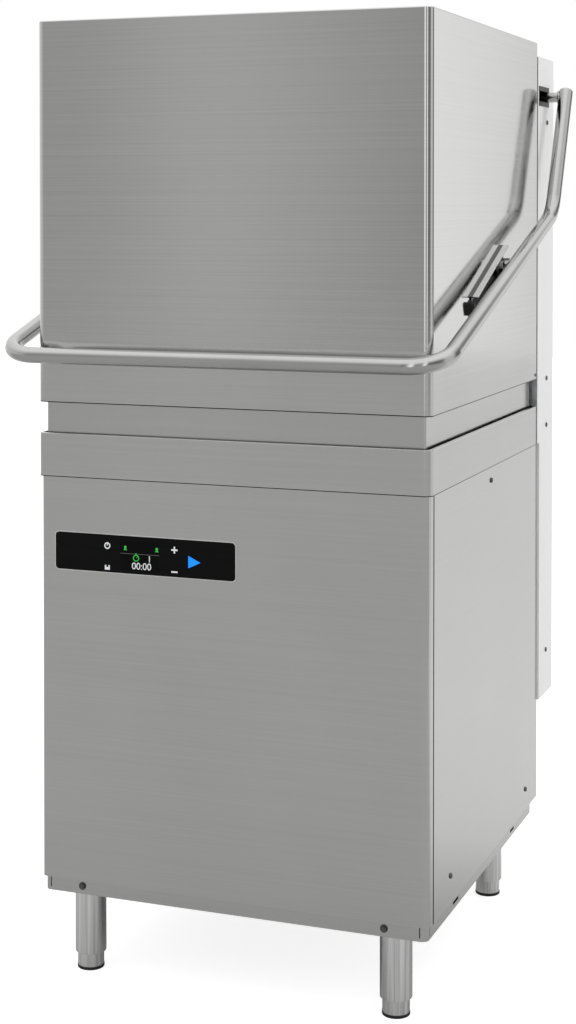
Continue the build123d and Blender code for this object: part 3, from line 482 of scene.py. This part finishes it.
def words(name, text, size, place, material):
    """Digits cut as a flat plate on the display."""
    curve = bpy.data.curves.new(name, "FONT")
    curve.body = text
    curve.size = size
    curve.align_x = "CENTER"
    curve.extrude = PRINT
    source = bpy.data.objects.new(name, curve)
    bpy.context.scene.collection.objects.link(source)
    bpy.context.view_layer.update()
    mesh = bpy.data.meshes.new_from_object(source.evaluated_get(bpy.context.evaluated_depsgraph_get()))
    bpy.data.objects.remove(source)
    mesh.transform(Matrix.Translation(place) @ Matrix.Rotation(math.radians(90), 4, "X"))
    return piece(name, mesh, material, "cabinet")


def display_graphics():
    """Neutral figures, a rule, a clock and two small signs, a fraction proud of the display."""
    face = SCREEN_LOW.y - PRINT * 0.5
    x = (SCREEN_LOW.x + SCREEN_HIGH.x) / 2
    bottom = SCREEN_LOW.z
    words("display_time", "00:00", 0.0150, Vector((x + 0.0032, face, bottom + 0.0020)), WHITE_LEGEND)
    words("display_programme", "1", 0.0140, Vector((x + 0.0165, face, bottom + 0.0143)), WHITE_LEGEND)
    rule = bmesh.new()
    plate(rule, rectangle(SCREEN_LOW.x, SCREEN_HIGH.x, bottom + 0.0252, bottom + 0.0257),
          face - 0.0001, PRINT)
    legend("display_rule", rule, MATERIALS["spring_steel"])
    clock = bmesh.new()
    cx, cz = x - 0.0060, bottom + 0.0192
    ring(clock, circle(cx, cz, 0.0052), circle(cx, cz, 0.0038), face - 0.0002, PRINT)
    plate(clock, rectangle(cx - 0.0012, cx + 0.0012, cz + 0.0056, cz + 0.0072), face - 0.0002, PRINT)
    plate(clock, [(cx - 0.0005, cz - 0.0005), (cx + 0.0030, cz + 0.0020), (cx + 0.0022, cz + 0.0028)],
          face - 0.0003, PRINT)
    legend("display_clock", clock, GREEN_LEGEND)
    for side in (-1, 1):
        sign = bmesh.new()
        cx = x + 0.0024 + side * 0.0266
        top = bottom + 0.0375
        plate(sign, arc((cx, top - 0.0022), 0.0022, 0, 330, 11), face - 0.0002, PRINT)
        plate(sign, [(cx - 0.0032, top - 0.0068), (cx + 0.0032, top - 0.0068), (cx + 0.0014, top - 0.0044),
                     (cx - 0.0014, top - 0.0044)], face - 0.0003, PRINT)
        legend(f"display_sign_{'right' if side > 0 else 'left'}", sign, GREEN_LEGEND)


def fascia_bezel():
    """Thin edge where the sheet steel is turned in round the fascia, given a pale colour as a painted highlight.
    """
    made = bmesh.new()

    def grown(wider, corner=0.006):
        """The fascia's outline, made wider on every side."""
        return rounded_box(FASCIA_LOW.x - wider, FASCIA_HIGH.x + wider, FASCIA_LOW.z - wider,
                           FASCIA_HIGH.z + wider, corner + wider)

    outer = grown(0.0016)
    inner = grown(0.0001)
    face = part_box("front_panel")[0].y
    ring(made, outer, inner, face - 0.0009, 0.001)
    mesh = mesh_from("fascia_bezel", made, smooth=False)
    piece("fascia_bezel", mesh, BEZEL_HIGHLIGHT, "cabinet")


def coil(x, y, z0, z1, radius, wire, turns, steps=20, sides=8):
    """A close-wound tension spring with its axis vertical."""
    bm = bmesh.new()
    rows = []
    total = turns * steps
    for index in range(total + 1):
        angle = 2 * math.pi * index / steps
        height = z0 + (z1 - z0) * index / total
        centre = Vector((x + radius * math.cos(angle), y + radius * math.sin(angle), height))
        outward = Vector((math.cos(angle), math.sin(angle), 0))
        row = []
        for side in range(sides):
            turn = 2 * math.pi * side / sides
            lift = Vector((0, 0, wire * math.sin(turn)))
            row.append(bm.verts.new(centre + outward * wire * math.cos(turn) + lift))
        rows.append(row)
    for a, b in zip(rows, rows[1:]):
        for side in range(sides):
            follow = (side + 1) % sides
            bm.faces.new((a[side], a[follow], b[follow], b[side]))
    bm.faces.new(rows[0])
    bm.faces.new(list(reversed(rows[-1])))
    return bm


def springs():
    """Both counterbalance springs: the coil, its end plugs, the wire above and the rod and nut below."""
    made = bmesh.new()
    lever_x = 0.150
    y = (SPRING_LOW.y + SPRING_HIGH.y) / 2
    root, low = 0.864, 0.960      # heights of the fixed end and of the coil's lower end
    top = SPRING_HIGH.z
    coil_top = top - 0.0245
    coil_radius, wire, turns = 0.0108, 0.0021, 62
    plug, nut, rod = 0.0115, 0.0075, 0.004    # radii of the end plugs, the nut and the rod
    for side in (-1, 1):
        x = side * lever_x
        part = coil(x, y, low, coil_top, coil_radius, wire, turns)
        mesh = bpy.data.meshes.new("coil")
        part.to_mesh(mesh)
        part.free()
        made.from_mesh(mesh)
        bpy.data.meshes.remove(mesh)
        fittings = ((root + 0.004, low + 0.004, rod), (coil_top - 0.004, top - 0.004, wire),
                    (low - 0.008, low, plug), (coil_top, coil_top + 0.006, plug), (root, root + 0.006, nut))
        for z0, z1, radius in fittings:
            bmesh.ops.create_cone(made, cap_ends=True, segments=20, radius1=radius, radius2=radius * 0.92,
                                  depth=z1 - z0, matrix=Matrix.Translation((x, y, (z0 + z1) / 2)))
    mesh = mesh_from("spring_coils", made)
    obj = piece("spring_coils", mesh, MATERIALS["spring_steel"], "cabinet")
    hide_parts("counterbalance_springs")
    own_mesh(obj)


def hood_screws():
    """Small screws near the lower rear corner of each side of the hood."""
    radius, flatness, proud = 0.0032, 0.45, 0.0006
    for side in (-1, 1):
        bm = bmesh.new()
        place = Matrix.Translation((side * (HOOD_HIGH.x + proud), HOOD_HIGH.y - 0.012, HOOD_LOW.z + 0.008))
        bmesh.ops.create_uvsphere(bm, u_segments=20, v_segments=10, radius=radius,
                                  matrix=place @ Matrix.Diagonal((flatness, 1, 1, 1)))
        name = f"hood_screw_{'right' if side > 0 else 'left'}"
        piece(name, mesh_from(name, bm), MATERIALS["spring_steel"], "hood")


def weld_beads():
    """Fillet welds where the axle meets each arm of the handle."""
    reach, bead, saddle, arm_width = 0.0101, 0.0019, 0.0022, 0.0252
    steps, sides = 48, 8
    for side in (-1, 1):
        bm = bmesh.new()
        rows = []
        for index in range(steps):
            angle = 2 * math.pi * index / steps
            x = side * (TUBE_HIGH.x - arm_width + saddle * math.cos(angle) ** 2)
            centre = Vector((x, AXLE.y + reach * math.cos(angle), AXLE.z + reach * math.sin(angle)))
            outward = Vector((0, math.cos(angle), math.sin(angle)))
            row = []
            for corner in range(sides):
                turn = 2 * math.pi * corner / sides
                along = Vector((side * bead * math.sin(turn), 0, 0))
                row.append(bm.verts.new(centre + outward * bead * math.cos(turn) + along))
            rows.append(row)
        for index in range(steps):
            a, b = rows[index], rows[(index + 1) % steps]
            for corner in range(sides):
                follow = (corner + 1) % sides
                bm.faces.new((a[corner], a[follow], b[follow], b[corner]))
        name = f"axle_weld_{'right' if side > 0 else 'left'}"
        piece(name, mesh_from(name, bm), MATERIALS["stainless_polished"], "handle")


fascia_legends()
display_graphics()
fascia_bezel()
springs()
hood_screws()
weld_beads()


# ---- floor, light and camera --------------------------------------------------------------------
def make_floor():
    """A wide pale floor, a little lighter behind the machine, that glows for camera rays."""
    mesh = bpy.data.meshes.new("floor")
    reach = 12.0
    mesh.from_pydata([(-reach, -reach, 0), (reach, -reach, 0), (reach, reach, 0), (-reach, reach, 0)], [],
                     [(0, 1, 2, 3)])
    floor = bpy.data.objects.new("floor", mesh)
    bpy.context.scene.collection.objects.link(floor)
    made = Shader("floor", (0.5, 0.5, 0.5), 0.9)
    place = made.node("ShaderNodeSeparateXYZ")
    made.link(made.coords, place.inputs["Vector"])
    rear = made.spread(place.outputs["Y"], 0, 1, -0.1, 0.5)
    patches = made.spread(made.noise(0.8, detail=3.0), 0.97, 1.0)
    made.link(made.mix(rear, made.shade((0.5, 0.5, 0.5), patches), made.shade((0.62, 0.62, 0.62), patches)),
              made.bsdf.inputs["Base Color"])
    made.bsdf.inputs["Specular IOR Level"].default_value = 0.1
    seen = made.node("ShaderNodeLightPath")
    made.bsdf.inputs["Emission Color"].default_value = (1, 1, 1, 1)
    glow = made.math("MAXIMUM", made.math("MULTIPLY", seen.outputs["Is Camera Ray"], 0.8),
                     made.math("MULTIPLY", rear, 0.12))
    made.link(glow, made.bsdf.inputs["Emission Strength"])
    dress(floor, made.material)


# Brightness of the studio round the object: bearing from the front (-Y) towards the right (+X), in degrees.
# Chosen so that the steel mirrors light and dark where it does in the photo.
STUDIO = (
    (-180, 0.78), (-167, 0.80), (-164, 1.05), (-120, 0.90), (-75, 0.75), (-50, 0.62), (-34, 0.40),
    (-27, 0.46), (-23, 0.58), (-16, 0.40), (-8, 0.30), (-2, 0.8), (3, 1.5), (9, 1.4), (13, 0.45),
    (31, 0.45), (35, 1.4), (40, 1.4), (45, 0.25), (80, 0.22), (92, 0.75),
    (120, 0.8), (130, 0.22), (152, 0.24), (160, 1.05), (164, 1.05), (167, 0.80), (180, 0.78),
)


def make_studio():
    """World light that changes with bearing and is even overhead; camera rays see it plain white."""
    world = bpy.data.worlds.new("studio")
    bpy.context.scene.world = world
    world.use_nodes = True
    tree = world.node_tree
    background = tree.nodes["Background"]

    def node(kind, **settings):
        made = tree.nodes.new(kind)
        for key, value in settings.items():
            setattr(made, key, value)
        return made

    coords = node("ShaderNodeTexCoord")
    split = node("ShaderNodeSeparateXYZ")
    tree.links.new(coords.outputs["Generated"], split.inputs["Vector"])
    bearing = node("ShaderNodeMath", operation="ARCTAN2")
    behind = node("ShaderNodeMath", operation="MULTIPLY")
    behind.inputs[1].default_value = -1.0
    tree.links.new(split.outputs["Y"], behind.inputs[0])
    tree.links.new(split.outputs["X"], bearing.inputs[0])
    tree.links.new(behind.outputs["Value"], bearing.inputs[1])
    turn = node("ShaderNodeMapRange")
    turn.inputs["From Min"].default_value = -math.pi
    turn.inputs["From Max"].default_value = math.pi
    tree.links.new(bearing.outputs["Value"], turn.inputs["Value"])
    ramp = node("ShaderNodeValToRGB")
    elements = ramp.color_ramp.elements
    strongest = max(value for _, value in STUDIO)
    for index, (angle, value) in enumerate(STUDIO):
        place = (angle + 180) / 360
        element = elements[index] if index < 2 else elements.new(place)
        if index < 2:
            element.position = place
        element.color = (value / strongest,) * 3 + (1,)
    tree.links.new(turn.outputs["Result"], ramp.inputs["Fac"])
    up = node("ShaderNodeMapRange")
    up.inputs["From Min"].default_value = 0.35
    up.inputs["From Max"].default_value = 0.8
    tree.links.new(split.outputs["Z"], up.inputs["Value"])
    overhead = node("ShaderNodeMix", data_type="RGBA")
    tree.links.new(up.outputs["Result"], overhead.inputs["Factor"])
    tree.links.new(ramp.outputs["Color"], overhead.inputs["A"])
    overhead.inputs["B"].default_value = (0.8, 0.8, 0.8, 1)
    seen = node("ShaderNodeLightPath")
    shown = node("ShaderNodeMix", data_type="RGBA")
    tree.links.new(seen.outputs["Is Camera Ray"], shown.inputs["Factor"])
    tree.links.new(overhead.outputs["Result"], shown.inputs["A"])
    white = 1.0 / strongest
    shown.inputs["B"].default_value = (white, white, white, 1)
    tree.links.new(shown.outputs["Result"], background.inputs["Color"])
    background.inputs["Strength"].default_value = strongest


def make_side_light():
    """Soft lamp on the right that lifts the painted column and is left out of reflections."""
    data = bpy.data.lights.new("side_lamp", "AREA")
    data.shape = "SQUARE"
    data.size = 2.0
    data.energy = 13.0
    lamp = bpy.data.objects.new("side_lamp", data)
    bpy.context.scene.collection.objects.link(lamp)
    lamp.location = (3.0, 0.6, 1.4)
    lamp.rotation_euler = (0, math.radians(90), 0)
    lamp.visible_glossy = False


def make_camera():
    """Nearly level camera, front right of the machine, with its lens shifted down."""
    data = bpy.data.cameras.new("camera")
    data.sensor_width = 36.0
    data.lens = 66.49
    data.shift_y = -0.256
    camera = bpy.data.objects.new("camera", data)
    bpy.context.scene.collection.objects.link(camera)
    yaw = math.radians(20.738)
    tilt = math.radians(-1.25)
    camera.location = (1.0919, FRONT - 2.6227, 1.1998)
    forward = Vector((-math.sin(yaw) * math.cos(tilt), math.cos(yaw) * math.cos(tilt), math.sin(tilt)))
    camera.rotation_mode = "QUATERNION"
    camera.rotation_quaternion = forward.to_track_quat("-Z", "Y")
    bpy.context.scene.camera = camera


make_floor()
make_studio()
make_side_light()
make_camera()
bpy.context.scene.view_settings.view_transform = "Standard"
